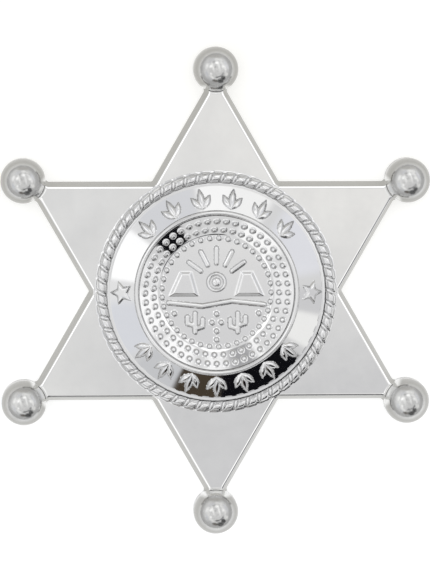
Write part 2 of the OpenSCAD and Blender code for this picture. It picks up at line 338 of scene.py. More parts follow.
def plated_plastic(name, tones, painted_side_tones, cover, roughness, ripple, grain):
    """Vacuum-plated ABS: a thin bright metal film over a moulded skin, which ripples and is a little hazy.

    tones are the duller and the brighter colour of the film, roughness its least and most. The side tones are
    painted colours on steep sides, in place of the film's own tone: painted shade on those that face
    outwards, and on those that face the badge's middle a second painted tone, which on the balls is lighter
    and stands in for a brighter reflection. cover is the share of the surface that the film hides. ripple and
    grain are the size and the height of the skin's waves and of its grain, in millimetres.
    """
    ripple_mm, ripple_h_mm = ripple
    grain_mm, grain_h_mm = grain
    material, tree, output, place = new_material(name)
    clouds = noise(tree, place, 1 / (ripple_mm * CLOUD_SPREAD * MM), 3.0, 0.6)
    front = blended(tree, clouds, linear(tones[0]), linear(tones[1]))
    facing = add_node(tree, "ShaderNodeTexCoord").outputs["Normal"]
    upright = add_node(tree, "ShaderNodeSeparateXYZ", inputs={"Vector": facing}).outputs["Z"]
    # sides that face the badge's middle take the second painted side tone, which on the balls is a painted
    # lighter tone standing in for a brighter reflection
    inner = facing_middle(tree, place, facing)
    side = blended(tree, inner, linear(painted_side_tones[0]), linear(painted_side_tones[1]))
    # steep sides take the painted side tones in place of the film's own tone: painted shade on the bevels and
    # rims
    film = blended(tree, eased(tree, upright, *PAINTED_SIDE_UPRIGHT), side, front)
    grains = noise(tree, place, 1 / (grain_mm * MM), 2.0, 0.5)
    waves = noise(tree, place, 1 / (ripple_mm * MM), 1.0, 0.4)
    rippled = add_node(tree, "ShaderNodeBump", inputs={
        "Height": waves, "Strength": 1.0, "Distance": ripple_h_mm * MM})
    grained = add_node(tree, "ShaderNodeBump", inputs={
        "Height": grains, "Strength": 1.0, "Distance": grain_h_mm * MM, "Normal": rippled.outputs["Normal"]})
    shader = add_node(tree, "ShaderNodeBsdfPrincipled", inputs={
        "Base Color": film, "Metallic": cover, "Roughness": haze(tree, grains, *roughness),
        "Normal": grained.outputs["Normal"]})
    tree.links.new(shader.outputs["BSDF"], output.inputs["Surface"])
    return material


def brushed_steel():
    """Nickel-plated steel strip and wire: fine drawn lines along X and a soft shine."""
    material, tree, output, place = new_material("brushed_nickel_plated_steel")
    stretched = add_node(tree, "ShaderNodeMapping", inputs={
        "Vector": place, "Scale": (1 / (DRAWN_L * MM), 1 / (DRAWN_W * MM), 1 / (DRAWN_W * MM))})
    lines = noise(tree, stretched.outputs["Vector"], 1.0, 3.0, 0.7)
    drawn = add_node(tree, "ShaderNodeBump", inputs={
        "Height": lines, "Strength": 1.0, "Distance": 0.004 * MM})
    shader = add_node(tree, "ShaderNodeBsdfPrincipled", inputs={
        "Base Color": blended(tree, lines, linear("#A9A8A4"), linear("#D2D1CD")), "Metallic": 1.0,
        "Roughness": haze(tree, lines, 0.24, 0.4), "Anisotropic": 0.4, "Normal": drawn.outputs["Normal"]})
    tree.links.new(shader.outputs["BSDF"], output.inputs["Surface"])
    return material


# the side tones below are painted: painted shade on steep sides, and on the balls a painted lighter tone on
# the sides that face the badge's middle
plated_star = plated_plastic(
    "vacuum_plated_abs_star", tones=("#D1D1D1", "#E6E6E5"), painted_side_tones=("#A6A5A1", "#A6A5A1"), cover=1.0,
    roughness=(0.05, 0.09), ripple=(5.0, 0.004), grain=(0.9, 0.0004))
# the balls take a darker copy of the same plating: painted shade that dims their reflections
plated_balls = plated_plastic(
    "vacuum_plated_abs_balls", tones=("#B2B2B1", "#E0E0DF"), painted_side_tones=("#ABAAA7", "#EDEDEC"), cover=0.86,
    roughness=(0.1, 0.22), ripple=(1.6, 0.003), grain=(0.7, 0.002))
plated_medallion = plated_plastic(
    "vacuum_plated_abs_medallion", tones=("#D8D8D9", "#DFDFDF"), painted_side_tones=("#D6D6D6", "#D6D6D6"), cover=1.0,
    roughness=(0.04, 0.08), ripple=(4.0, 0.004), grain=(0.8, 0.0006))
steel = brushed_steel()


# star plate

# points of each stretch of half an arm's outline
SEAT_STEPS = 9
NECK_STEPS = 5
EDGE_STEPS = 10
NOTCH_STEPS = 5


def half_arm(offset, seat_offset):
    """Right half of the top arm's outline, from its middle at the ball to the notch, moved in.

    offset is how far it lies inside the star's edge, seat_offset how far it stays from the ball's skirt.
    """
    edge_normal = clock(60)
    ball = ball_ring_r * clock(0)
    reach = ball_r + NECK_FILLET
    neck_turn = 60 + math.degrees(math.acos((star_edge + NECK_FILLET - ball @ edge_normal) / reach))
    neck = ball + reach * clock(neck_turn)
    neck_r = NECK_FILLET + offset
    seat_r = ball_r + seat_offset
    spread = math.degrees(math.acos((reach ** 2 + neck_r ** 2 - seat_r ** 2) / (2 * reach * neck_r)))
    neck_end = neck_turn + 180 - spread
    notch = (notch_r + NOTCH_FILLET / math.cos(math.radians(30))) * clock(30)
    edge_end = notch - (NOTCH_FILLET + offset) * edge_normal
    if neck_end > 240:
        corner = neck + neck_r * clock(neck_end)
        turns = np.linspace(neck_end, 240, NECK_STEPS + 1)
        side = [neck + neck_r * clock(t) for t in turns]
        shares = np.linspace(0, 1, EDGE_STEPS + 1)[1:]
    else:
        foot = ball - edge_normal * (ball @ edge_normal - star_edge + offset)
        along = math.sqrt(seat_r ** 2 - (ball @ edge_normal - star_edge + offset) ** 2)
        corner = foot + along * clock(150)
        side = [corner]
        shares = np.linspace(0, 1, EDGE_STEPS + NECK_STEPS + 1)[1:]
    side += [side[-1] + s * (edge_end - side[-1]) for s in shares]
    reach_out = corner - ball
    seat_turn = math.degrees(math.atan2(reach_out[0], reach_out[1]))
    seat = [ball + seat_r * clock(t) for t in np.linspace(180, seat_turn, SEAT_STEPS + 1)[:-1]]
    notch_turns = np.linspace(60, 30, NOTCH_STEPS + 1)[1:]
    round_notch = [notch - (NOTCH_FILLET + offset) * clock(t) for t in notch_turns]
    return seat + side + round_notch


def star_outline(offset, seat_offset):
    """Whole outline of the star, clockwise, from the notch on the left of the top arm."""
    half = half_arm(offset, seat_offset)
    mirrored = [p * (-1, 1) for p in reversed(half)]
    arm = np.array(mirrored[:-1] + half[:-1])
    outline = []
    for k in range(ARMS):
        turn = math.radians(-60 * k)
        spin = np.array([[math.cos(turn), -math.sin(turn)], [math.sin(turn), math.cos(turn)]])
        outline.append(arm @ spin.T)
    return np.concatenate(outline)


def in_star(points, inset):
    """Which points lie inside the star's outline by at least inset, away from the balls."""
    inside = np.zeros(len(points), bool)
    for first in (0, 60):
        reach = np.max([points @ clock(first + 120 * k) for k in range(3)], axis=0)
        inside |= reach < star_edge - inset
    for k in range(ARMS):
        inside &= np.linalg.norm(points - ball_ring_r * clock(60 * k), axis=1) > ball_r + inset
    return inside


def flat_fill(outline, hole, height, inset, spacing=1.3):
    """Points and triangles of a flat face between the star's outline and the round hole in it."""
    steps = np.arange(-ball_ring_r, ball_ring_r, spacing)
    grid = np.array([(x + spacing / 2 * (k % 2), y) for k, y in enumerate(steps) for x in steps])
    grid = grid[in_star(grid, inset + spacing / 2)]
    from_middle = np.linalg.norm(grid - (medallion_x, medallion_y), axis=1)
    grid = grid[from_middle > window_r + spacing / 2]
    flat = [Vector(p) for p in np.concatenate([outline, hole, grid])]
    n = len(outline)
    m = len(hole)
    edges = [(k, (k + 1) % n) for k in range(n)] + [(n + k, n + (k + 1) % m) for k in range(m)]
    filled = geometry.delaunay_2d_cdt(flat, edges, [], 1, 1e-6)
    found = np.array([tuple(p) for p in filled[0]])
    # a triangle inside the hole has all its corners on the hole's edge
    reach = np.linalg.norm(found - (medallion_x, medallion_y), axis=1)
    kept = [tuple(face) for face in filled[2] if max(reach[list(face)]) > window_r * 1.001]
    return np.column_stack([found, np.full(len(found), height)]), kept


def star_plate():
    """Star with a steep bevel, a narrow land round its field, a hollow back and the medallion's window."""
    land_drop = LAND_W * math.tan(math.radians(LAND_TILT))
    land_inset = FIELD_INSET - LAND_W
    land_seat = SEAT_INSET - LAND_W
    # strips beside the first and the last fillet keep the flat faces shaded flat
    support = 0.05
    ceiling_strip = 0.4
    field_z = star_top - RIDGE_H
    hollow_h = star_top - FIELD_T
    # corners of the section as (inset from the edge, inset from the ball, height), from field to ceiling
    section = rounded([
        ((FIELD_INSET + RIDGE_W + support, SEAT_INSET + RIDGE_W + support, field_z), 0),
        ((FIELD_INSET + RIDGE_W, SEAT_INSET + RIDGE_W, field_z), RIDGE_R),
        ((FIELD_INSET, SEAT_INSET, star_top), RIDGE_R),
        ((land_inset, land_seat, star_top - land_drop), SHOULDER_R),
        ((0, SEAT_GAP, RIM_H), BEVEL_R),
        ((0, SEAT_GAP, 0), BACK_RIM_R),
        ((WALL_T, WALL_T, 0), BACK_RIM_R),
        ((WALL_T, WALL_T, hollow_h), HOLLOW_R),
        ((WALL_T + ceiling_strip, WALL_T + ceiling_strip, hollow_h), 0),
    ])
    loops = []
    for inset, seat_inset, height in section:
        outline = star_outline(inset, seat_inset)
        loops.append(np.column_stack([outline, np.full(len(outline), height)]))
    turn = np.linspace(0, 2 * math.pi, WINDOW_SIDES, endpoint=False)
    window = np.column_stack([medallion_x + window_r * np.cos(turn), medallion_y + window_r * np.sin(turn)])
    window_rows = [np.column_stack([window, np.full(len(window), z)]) for z in (field_z, hollow_h)]
    points, faces = joined(
        skin(loops),
        flat_fill(loops[0][:, :2], window, field_z, FIELD_INSET + RIDGE_W + support),
        flat_fill(loops[-1][:, :2], window, hollow_h, WALL_T + ceiling_strip),
        skin(window_rows),
    )
    share = np.clip((np.hypot(points[:, 0], points[:, 1]) - DROOP_FROM) / (DROOP_TO - DROOP_FROM), 0, None)
    points[:, 2] -= ARM_DROOP * share ** 2 * points[:, 2] / star_top
    piece = make_piece("star_with_land", points, faces, plated_star)
    mount(piece, "plated_star", "star_plate")


def tip_balls():
    """Half-round ball on a short skirt at the end of each arm, its back a little hollow."""
    back = rounded([
        ((0, BALL_SINK), 0),
        ((BALL_SINK_R, BALL_SINK), BALL_SINK_FILLET),
        ((BALL_SINK_R + BALL_SINK_EDGE_W, 0), BALL_SINK_EDGE_R),
        ((ball_r, 0), BALL_EDGE_R),
        ((ball_r, ball_skirt_h), 0),
    ])
    dome = [(ball_r * math.cos(a), ball_skirt_h + ball_r * math.sin(a))
            for a in np.linspace(0, math.pi / 2, BALL_RINGS + 1)[1:]]
    rows = lathe([tuple(p) for p in back] + dome, BALL_SIDES)
    points, faces = skin(rows)
    for k in range(ARMS):
        centre = ball_ring_r * clock(60 * k)
        piece = make_piece(f"plated_ball_{k + 1}", points, faces, plated_balls, (*centre, 0))
        mount(piece, "plated_balls", f"tip_ball_{k + 1}")


# rope border

# lean of a strand across the rope, as a share of the pitch
STRAND_LEAN = 0.5
# a strand reaches from OUT to IN of the rope's middle line, its crest lies inside that line
STRAND_OUT = 0.68
STRAND_IN = -0.86
STRAND_CREST = -0.24
STRAND_SIDE = 0.25
OUTER_POWER = 2.1
# how far a strand has come down at its inner edge, as a share of its crown
INNER_DROP = 0.6
# low chamfer outside the strands, and the foot of the strands' inner side
CHAMFER_W = 0.04
CHAMFER_H = 0.055
CHAMFER_STEP_H = 0.05
INNER_FOOT_H = 0.1
# how much a strand sinks towards its ends, and the groove between two strands: its depth as a share of the
# crown, where its flanks run as shares of half a strand, and how much shorter the strand is there
STRAND_SINK = 0.12
GROOVE_CUT = 0.6
GROOVE_FROM = 0.56
GROOVE_TO = 0.84
GROOVE_PINCH = 0.15
# faces of a strand along the ring and over its arch
STRAND_STEPS = 18
ARCH_STEPS = 18


def strand_points():
    """Grid of points over one strand, at the start of the rope's ring, and how many points it has across."""
    pitch = 2 * math.pi / strand_count
    half_w = ROPE_W / 2
    points = []
    for i in range(STRAND_STEPS + 1):
        share_along = (1 - math.cos(math.pi * i / STRAND_STEPS)) / 2
        from_crown = abs(2 * share_along - 1)
        step = min(max((from_crown - GROOVE_FROM) / (GROOVE_TO - GROOVE_FROM), 0), 1)
        sunk = step ** 2 * (3 - 2 * step)
        crown_h = (rope_h - STRAND_SIDE) * (1 - STRAND_SINK * from_crown ** 2)
        crown_h *= 1 - GROOVE_CUT * sunk
        out_r = STRAND_OUT - GROOVE_PINCH * sunk
        in_r = STRAND_IN + GROOVE_PINCH / 2 * sunk
        row = []
        for j in range(ARCH_STEPS + 1):
            across = math.cos(math.pi * j / ARCH_STEPS)
            if across > 0:
                reach = out_r - STRAND_CREST
                lift = max(1 - across ** OUTER_POWER, 0) ** (1 / OUTER_POWER)
            else:
                reach = STRAND_CREST - in_r
                lift = 1 - INNER_DROP * across ** 2
            row.append((STRAND_CREST + reach * across, STRAND_SIDE + crown_h * lift))
        row += [(in_r, INNER_FOOT_H), (-half_w, 0), (half_w, 0)]
        row += [(out_r + CHAMFER_W, CHAMFER_H), (out_r, CHAMFER_H + CHAMFER_STEP_H)]
        for out, height in row + row[:1]:
            turn = pitch * (share_along - STRAND_LEAN * out / ROPE_W)
            points.append(((rope_r + out) * math.cos(turn), (rope_r + out) * math.sin(turn), seat_z + height))
    return points, len(row) + 1


def rope_round():
    """Geometry Nodes tree that sets strands side by side into a closed ring about the Z axis."""
    tree = bpy.data.node_groups.new("rope_round", "GeometryNodeTree")
    tree.interface.new_socket("Strand", in_out="INPUT", socket_type="NodeSocketGeometry")
    count = tree.interface.new_socket("Strands", in_out="INPUT", socket_type="NodeSocketInt")
    finish = tree.interface.new_socket("Finish", in_out="INPUT", socket_type="NodeSocketMaterial")
    tree.interface.new_socket("Rope", in_out="OUTPUT", socket_type="NodeSocketGeometry")
    given = add_node(tree, "NodeGroupInput").outputs
    spots = add_node(tree, "GeometryNodeMeshLine", inputs={"Count": given["Strands"], "Offset": (0, 0, 0)})
    pitch = add_node(tree, "ShaderNodeMath", {"operation": "DIVIDE"}, {0: 2 * math.pi, 1: given["Strands"]})
    index = add_node(tree, "GeometryNodeInputIndex")
    turn = add_node(tree, "ShaderNodeMath", {"operation": "MULTIPLY"}, {
        0: index.outputs["Index"], 1: pitch.outputs["Value"]})
    spin = add_node(tree, "ShaderNodeCombineXYZ", inputs={"Z": turn.outputs["Value"]})
    strands = add_node(tree, "GeometryNodeInstanceOnPoints", inputs={
        "Points": spots.outputs["Mesh"], "Instance": given["Strand"], "Rotation": spin.outputs["Vector"]})
    real = add_node(tree, "GeometryNodeRealizeInstances", inputs={"Geometry": strands.outputs["Instances"]})
    merged = add_node(tree, "GeometryNodeMergeByDistance", inputs={
        "Geometry": real.outputs["Geometry"], "Distance": 0.001 * MM})
    painted = add_node(tree, "GeometryNodeSetMaterial", inputs={
        "Geometry": merged.outputs["Geometry"], "Material": given["Finish"]})
    add_node(tree, "NodeGroupOutput", inputs={"Rope": painted.outputs["Geometry"]})
    return tree, count, finish


def rope_border():
    """Twisted rope round the medallion."""
    points, across = strand_points()
    rows = len(points) // across
    faces = [(i * across + j, (i + 1) * across + j, (i + 1) * across + j + 1, i * across + j + 1)
             for i in range(rows - 1) for j in range(across - 1)]
    mesh = bpy.data.meshes.new("rope_strand")
    mesh.from_pydata((np.array(points) * MM).tolist(), [], faces)
    rope = bpy.data.objects.new("twisted_rope", mesh)
    bpy.context.scene.collection.objects.link(rope)
    tree, count, finish = rope_round()
    modifier = rope.modifiers.new("rope_round", "NODES")
    modifier.node_group = tree
    modifier[count.identifier] = strand_count
    modifier[finish.identifier] = plated_medallion
    settle(rope, modifier)
    set_down(rope, (medallion_x, medallion_y, 0))
    mount(rope, "plated_medallion", "rope_border")


# sloping band with its ornaments

ORNAMENT_H = 0.4
LEAF_L = 3.6
LEAF_W = 1.1
# a leaf is fully rounded across
LEAF_EDGE = 0.55
STAR_EDGE = 0.45
SIDE_LEAF_LEAN = 34
SIDE_LEAF_SHARE = 0.78
UPPER_SPRIGS = [19 * (k - 2.5) for k in range(6)]
LOWER_SPRIGS = [180 + 17 * (k - 3) for k in range(7)]
SMALL_STARS = [90, 270]
SMALL_STAR_R = 1.95
SMALL_STAR_WAIST = 0.5
# how far from its middle line an ornament reaches at most
ORNAMENT_REACH = 2.6
LIP_FOOT_W = 0.2
BAND_COLUMNS = 1152
SLOPE_ROWS = 46


def raised(inside, edge, height):
    """Height of a raised form whose side rounds over within edge of its outline, by the depth inside it."""
    share = np.clip(inside / edge, 0, 1)
    return height * np.sqrt(1 - (1 - share) ** 2)


def leaf_inside(x, y, length, width):
    """How deep points lie inside a leaf with two arched sides, along +Y and centred."""
    share = np.clip(y / length + 0.5, 0, 1)
    half = width / 2 * np.sin(math.pi * share)
    steepness = width / 2 * math.pi / length * np.cos(math.pi * share)
    inside = (half - np.abs(x)) / np.sqrt(1 + steepness ** 2)
    return np.where(np.abs(y) < length / 2, inside, -1.0)


def sprig_inside(x, y):
    """How deep points lie inside three leaves that spread from one foot."""
    deepest = leaf_inside(x, y, LEAF_L, LEAF_W)
    side_l = LEAF_L * SIDE_LEAF_SHARE
    for lean in (-SIDE_LEAF_LEAN, SIDE_LEAF_LEAN):
        turn = math.radians(lean)
        dy = y + LEAF_L / 2
        along = -x * math.sin(turn) + dy * math.cos(turn)
        across = x * math.cos(turn) + dy * math.sin(turn)
        deepest = np.maximum(deepest, leaf_inside(across, along - side_l / 2, side_l, LEAF_W))
    return deepest


def star_inside(x, y, radius, waist):
    """How deep points lie inside a five-pointed star with one tip at +Y."""
    angle = np.arctan2(x, y)
    tenth = math.pi / 5
    fold = np.abs((angle + tenth) % (2 * tenth) - tenth)
    reach = np.hypot(x, y)
    px = reach * np.sin(fold)
    py = reach * np.cos(fold)
    inner = radius * waist * np.array([math.sin(tenth), math.cos(tenth)])
    side = inner - (0, radius)
    side /= np.linalg.norm(side)
    return -(px * -side[1] + (py - radius) * side[0])


def band_relief(r, turn):
    """Height of the ornaments above the slope, at radii r and clock angles turn in radians."""
    middle_r = (slope_outer_r + slope_inner_r) / 2
    height = np.zeros_like(r * turn)
    forms = [(place, "sprig") for place in UPPER_SPRIGS + LOWER_SPRIGS]
    forms += [(place, "star") for place in SMALL_STARS]
    for place, form in forms:
        away = turn - math.radians(place)
        x = r * np.sin(away)
        y = (r * np.cos(away) - middle_r) / math.cos(slope_angle)
        near = (np.cos(away) > 0.9) & (np.abs(x) < ORNAMENT_REACH)
        if form == "sprig":
            rise = raised(sprig_inside(x, y), LEAF_EDGE, ORNAMENT_H)
        else:
            rise = raised(star_inside(x, y, SMALL_STAR_R, SMALL_STAR_WAIST), STAR_EDGE, ORNAMENT_H)
        height = np.maximum(height, np.where(near, rise, 0))
    return height


def medallion_band():
    """Sloping band with a smooth lip, a leaf frieze and two stars, and the ledge under the centre disc."""
    bezel_seat_z = slope_high_z - BEZEL_SINK
    ledge_z = seal_bottom - FIT_GAP
    foot_inner_r = band_outer_r - FOOT_W
    upper = rounded([
        ((foot_inner_r, seat_z), 0),
        ((band_outer_r, seat_z), FOOT_R),
        ((band_outer_r, slope_low_z), LIP_R),
        ((slope_outer_r, slope_low_z), LIP_EDGE_R),
        ((slope_outer_r - LIP_FOOT_W, slope_low_z + LIP_FOOT_W * math.tan(slope_angle)), 0),
    ])[:-1]
    lower = rounded([
        ((slope_inner_r, slope_high_z), 0),
        ((slope_inner_r, bezel_seat_z), 0),
        ((seal_r + FIT_GAP, bezel_seat_z), 0),
        ((seal_r + FIT_GAP, ledge_z), 0),
        ((seal_r - LEDGE_W, ledge_z), LEDGE_R),
        ((seal_r - LEDGE_W, ledge_z - LEDGE_T), LEDGE_R),
        ((slope_inner_r - BAND_T / 2, ledge_z - LEDGE_T), BAND_BACK_R),
        ((foot_inner_r, seat_z + LIP_H / 2), 0),
    ], 2)[1:]
    turn = np.linspace(0, 2 * math.pi, BAND_COLUMNS, endpoint=False)
    rows = [ring(r, z, turn) for r, z in upper]
    start_r, start_z = upper[-1]
    for share in np.linspace(0, 1, SLOPE_ROWS + 1)[1:]:
        r = start_r + share * (slope_inner_r - start_r)
        z = start_z + share * (slope_high_z - start_z)
        height = band_relief(np.full(BAND_COLUMNS, r), turn)
        rows.append(ring(r + height * math.sin(slope_angle), z + height * math.cos(slope_angle), turn))
    rows += [ring(r, z, turn) for r, z in lower]
    points, faces = skin(rows, wrap=True)
    piece = make_piece("sloping_band", points, faces, plated_medallion, (medallion_x, medallion_y, 0))
    mount(piece, "plated_medallion", "medallion_band")


BEAD_SECTION_SIDES = 16
BEAD_STEPS = 256


def bezel_ring():
    """Round bead between the band and the centre disc."""
    middle_z = (bezel_low[2] + bezel_high[2]) / 2
    section = [(bezel_r + bezel_d / 2 * math.cos(a), middle_z + bezel_d / 2 * math.sin(a))
               for a in np.linspace(0, 2 * math.pi, BEAD_SECTION_SIDES, endpoint=False)]
    points, faces = skin(lathe(section, BEAD_STEPS), wrap=True)
    piece = make_piece("bead_ring", points, faces, plated_medallion, (medallion_x, medallion_y, 0))
    mount(piece, "plated_medallion", "bezel_ring")


# centre disc

SEAL_T = 0.8
SEAL_COLUMNS = 640
SEAL_ROWS = 112
# chamfers at the disc's upper and lower edge
SEAL_TOP_CHAMFER = 0.06
SEAL_BACK_CHAMFER = 0.1
# width of the disc's sloping margin, and the width over which the flat middle turns into it
DISH_W = 3.6
DISH_BLEND = 0.8
seal_mid_z = seal_bottom + SEAL_T
seal_rim_z = slope_high_z
DOT_D = 1.15
DOT_PITCH = 1.43
ROW_PITCH = 1.32
# outline of a dot from its top to below the disc: a small dome on a flared foot, as (radius, height)
DOT_SHAPE = [(0.2, 0.44), (0.27, 0.42), (0.3, 0.37), (0.315, 0.27), (0.33, 0.21),
             (0.44, 0.07), (0.5, 0.03), (0.63, 0.0), (0.65, -0.08)]
DOT_TOP = 0.45
DOT_SIDES = 12
DOT_ROWS = 3
DOT_MARGIN = 0.3
dot_row_r = seal_r - DOT_D / 2 - DOT_MARGIN
picture_r = dot_row_r - (DOT_ROWS - 1) * ROW_PITCH - DOT_D / 2
RELIEF_H = 0.35
STROKE_W = 0.105
# sun over two table hills, a ground line and two tall cacti, in shares of the picture's radius
SUN_Y = 0.2
SUN_R = 0.2
SUN_WELL_R = 0.13
SUN_DOME_R = 0.09
RAY_FROM = 0.33
RAY_TO = 0.72
RAY_ANGLES = (36, 63, 90, 117, 144)
HILL = [(0.34, -0.08), (0.48, 0.42), (0.72, 0.42), (0.95, -0.08)]
HILL_SIDE = 0.07
GROUND = [(-0.94, -0.2), (-0.28, -0.27), (0.3, -0.17), (0.94, -0.24)]
CACTUS_X = 0.42
CACTUS_Y = -0.78
# trunk and two arms of a cactus, as lines from its root: (outwards, upwards)
CACTUS = [
    [(0, 0), (0, 0.37)],
    [(0, 0.06), (-0.15, 0.11), (-0.15, 0.25)],
    [(0, 0.12), (0.15, 0.17), (0.15, 0.3)],
]
LOOSE_DOTS = [
    (0, -0.42), (-0.09, -0.59), (0.09, -0.59), (0, -0.76), (0, -0.93), (-0.83, -0.41), (0.83, -0.41),
]


def dish_z(r):
    """Height of the disc's plain top at radius r."""
    run = np.clip(r - seal_r + DISH_W, 0, None)
    steepness = (seal_rim_z - seal_mid_z) / (DISH_W - DISH_BLEND / 2)
    curved = run ** 2 / (2 * DISH_BLEND)
    return seal_mid_z + steepness * np.where(run < DISH_BLEND, curved, run - DISH_BLEND / 2)


def stroke_inside(x, y, start, end, width):
    """How deep points lie inside a bar with round ends."""
    start = np.array(start, float)
    run = np.array(end, float) - start
    share = np.clip(((x - start[0]) * run[0] + (y - start[1]) * run[1]) / (run @ run), 0, 1)
    return width / 2 - np.hypot(x - start[0] - share * run[0], y - start[1] - share * run[1])


def hill_inside(x, y, side):
    """How deep points lie inside a table hill."""
    corners = [np.array((side * px, py)) for px, py in HILL]
    middle = sum(corners) / len(corners)
    deepest = np.full_like(x, 9.0)
    for a, b in zip(corners, corners[1:] + corners[:1]):
        normal = np.array((b[1] - a[1], a[0] - b[0])) / np.linalg.norm(b - a)
        if normal @ (middle - a) < 0:
            normal = -normal
        deepest = np.minimum(deepest, (x - a[0]) * normal[0] + (y - a[1]) * normal[1])
    return deepest


def picture_relief(x, y):
    """Height of the raised picture, at places in shares of its radius."""
    half_stroke = STROKE_W / 2
    height = np.zeros_like(x)
    strokes = []
    for angle in RAY_ANGLES:
        way = np.array((math.cos(math.radians(angle)), math.sin(math.radians(angle))))
        centre = np.array((0, SUN_Y))
        strokes.append((centre + (RAY_FROM + half_stroke) * way, centre + (RAY_TO - half_stroke) * way))
    strokes += list(zip(GROUND, GROUND[1:]))
    for side in (-1, 1):
        for line in CACTUS:
            corners = [(side * (CACTUS_X + px), CACTUS_Y + py) for px, py in line]
            strokes += list(zip(corners, corners[1:]))
    for start, end in strokes:
        inside = stroke_inside(x, y, start, end, STROKE_W)
        height = np.maximum(height, raised(inside, half_stroke, RELIEF_H))
    for side in (-1, 1):
        slope = np.clip(hill_inside(x, y, side) / HILL_SIDE, 0, 1)
        height = np.maximum(height, RELIEF_H * slope)
    from_sun = np.hypot(x, y - SUN_Y)
    rim_w = SUN_R - SUN_WELL_R
    rim = rim_w / 2 - np.abs(from_sun - (SUN_R + SUN_WELL_R) / 2)
    height = np.maximum(height, raised(rim, rim_w / 2, RELIEF_H))
    return np.maximum(height, raised(SUN_DOME_R - from_sun, SUN_DOME_R, RELIEF_H))


def seal_disc():
    """Dished disc with the generic raised picture."""
    turn = np.linspace(0, 2 * math.pi, SEAL_COLUMNS, endpoint=False)
    rows = [ring(r, seal_bottom, turn) for r in (0, seal_r - SEAL_BACK_CHAMFER)]
    rows += [ring(seal_r, z, turn) for z in (seal_bottom + SEAL_BACK_CHAMFER, seal_rim_z - SEAL_TOP_CHAMFER)]
    for r in np.linspace(0, seal_r - SEAL_TOP_CHAMFER, SEAL_ROWS)[::-1]:
        height = picture_relief(r * np.sin(turn) / picture_r, r * np.cos(turn) / picture_r)
        rows.append(ring(r, dish_z(r) + height, turn))
    points, faces = skin(rows)
    piece = make_piece("dished_disc", points, faces, plated_medallion, (medallion_x, medallion_y, 0))
    mount(piece, "plated_medallion", "seal_disc")


def dot_places():
    """Where the raised dots stand: three rings of them and the loose ones, as (x, y)."""
    places = []
    for row in range(DOT_ROWS):
        r = dot_row_r - row * ROW_PITCH
        count = math.floor(2 * math.pi * r / DOT_PITCH)
        turns = np.linspace(0, 2 * math.pi, count, endpoint=False)
        places += [(r * math.cos(a), r * math.sin(a)) for a in turns]
    return places + [(x * picture_r, y * picture_r) for x, y in LOOSE_DOTS]


def dots_on_dish():
    """Geometry Nodes tree that stands a dot on each point, leaning with the dish."""
    tree = bpy.data.node_groups.new("dots_on_dish", "GeometryNodeTree")
    tree.interface.new_socket("Places", in_out="INPUT", socket_type="NodeSocketGeometry")
    shape = tree.interface.new_socket("Dot", in_out="INPUT", socket_type="NodeSocketObject")
    finish = tree.interface.new_socket("Finish", in_out="INPUT", socket_type="NodeSocketMaterial")
    tree.interface.new_socket("Dots", in_out="OUTPUT", socket_type="NodeSocketGeometry")
    given = add_node(tree, "NodeGroupInput").outputs
    dot = add_node(tree, "GeometryNodeObjectInfo", inputs={"Object": given["Dot"]})
    lean = add_node(tree, "GeometryNodeInputNamedAttribute", {"data_type": "FLOAT_VECTOR"}, {
        "Name": "lean"})
    turned = add_node(tree, "FunctionNodeAlignRotationToVector", {"axis": "Z"}, {
        "Vector": lean.outputs["Attribute"]})
    dots = add_node(tree, "GeometryNodeInstanceOnPoints", inputs={
        "Points": given["Places"], "Instance": dot.outputs["Geometry"],
        "Rotation": turned.outputs["Rotation"]})
    real = add_node(tree, "GeometryNodeRealizeInstances", inputs={"Geometry": dots.outputs["Instances"]})
    painted = add_node(tree, "GeometryNodeSetMaterial", inputs={
        "Geometry": real.outputs["Geometry"], "Material": given["Finish"]})
    add_node(tree, "NodeGroupOutput", inputs={"Dots": painted.outputs["Geometry"]})
    return tree, shape, finish


def seal_dots():
    """Raised dots on the centre disc."""
    outline = [(0, DOT_TOP)] + DOT_SHAPE + [(0, DOT_SHAPE[-1][1])]
    dot = make_piece("one_dot", *skin(lathe(outline, DOT_SIDES)), plated_medallion)
    places = np.array(dot_places())
    reach = np.hypot(places[:, 0], places[:, 1])
    mesh = bpy.data.meshes.new("dot_places")
    mesh.from_pydata((np.column_stack([places, dish_z(reach)]) * MM).tolist(), [], [])
    step = 0.01
    steepness = (dish_z(reach + step) - dish_z(reach)) / step
    outward = places / np.maximum(reach, step)[:, None]
    lean = np.column_stack([-outward * steepness[:, None], np.ones(len(places))])
    attribute = mesh.attributes.new("lean", "FLOAT_VECTOR", "POINT")
    attribute.data.foreach_set("vector", lean.ravel())
    dots = bpy.data.objects.new("raised_dots", mesh)
    bpy.context.scene.collection.objects.link(dots)
    tree, shape, finish = dots_on_dish()
    modifier = dots.modifiers.new("dots_on_dish", "NODES")
    modifier.node_group = tree
    modifier[shape.identifier] = dot
    modifier[finish.identifier] = plated_medallion
    settle(dots, modifier)
    bpy.data.objects.remove(dot)
    set_down(dots, (medallion_x, medallion_y, 0))
    mount(dots, "plated_medallion", "seal_disc")


# pin

PIN_Y = 7.0
PIN_BAR_W = 4.5
PIN_BAR_T = 0.5
PIN_WIRE_D = 0.8
PIN_LUG_L = 2.4
PIN_LUG_W = 2.6
PIN_LUG_INSET = 0.8
PIN_BAR_EDGE = 0.12
PIN_LUG_EDGE = 0.25
# how far the lugs stop below the bar's upper face
PIN_LUG_SHORT = 0.1
PIN_WIRE_SIDES = 24


def bevelled_block(low, high, bevel, steps=3):
    """Points and faces of a block with rounded edges."""
    work = bmesh.new()
    bmesh.ops.create_cube(work, size=1)
    middle = (np.array(low) + np.array(high)) / 2
    size = np.array(high) - np.array(low)
    for vert in work.verts:
        vert.co = Vector(middle + np.array(vert.co) * size)
    bmesh.ops.bevel(work, geom=work.edges[:], offset=bevel, segments=steps, profile=0.5, affect="EDGES")
    work.verts.index_update()
    points = [tuple(v.co) for v in work.verts]
    faces = [tuple(v.index for v in f.verts) for f in work.faces]
    work.free()
    return points, faces


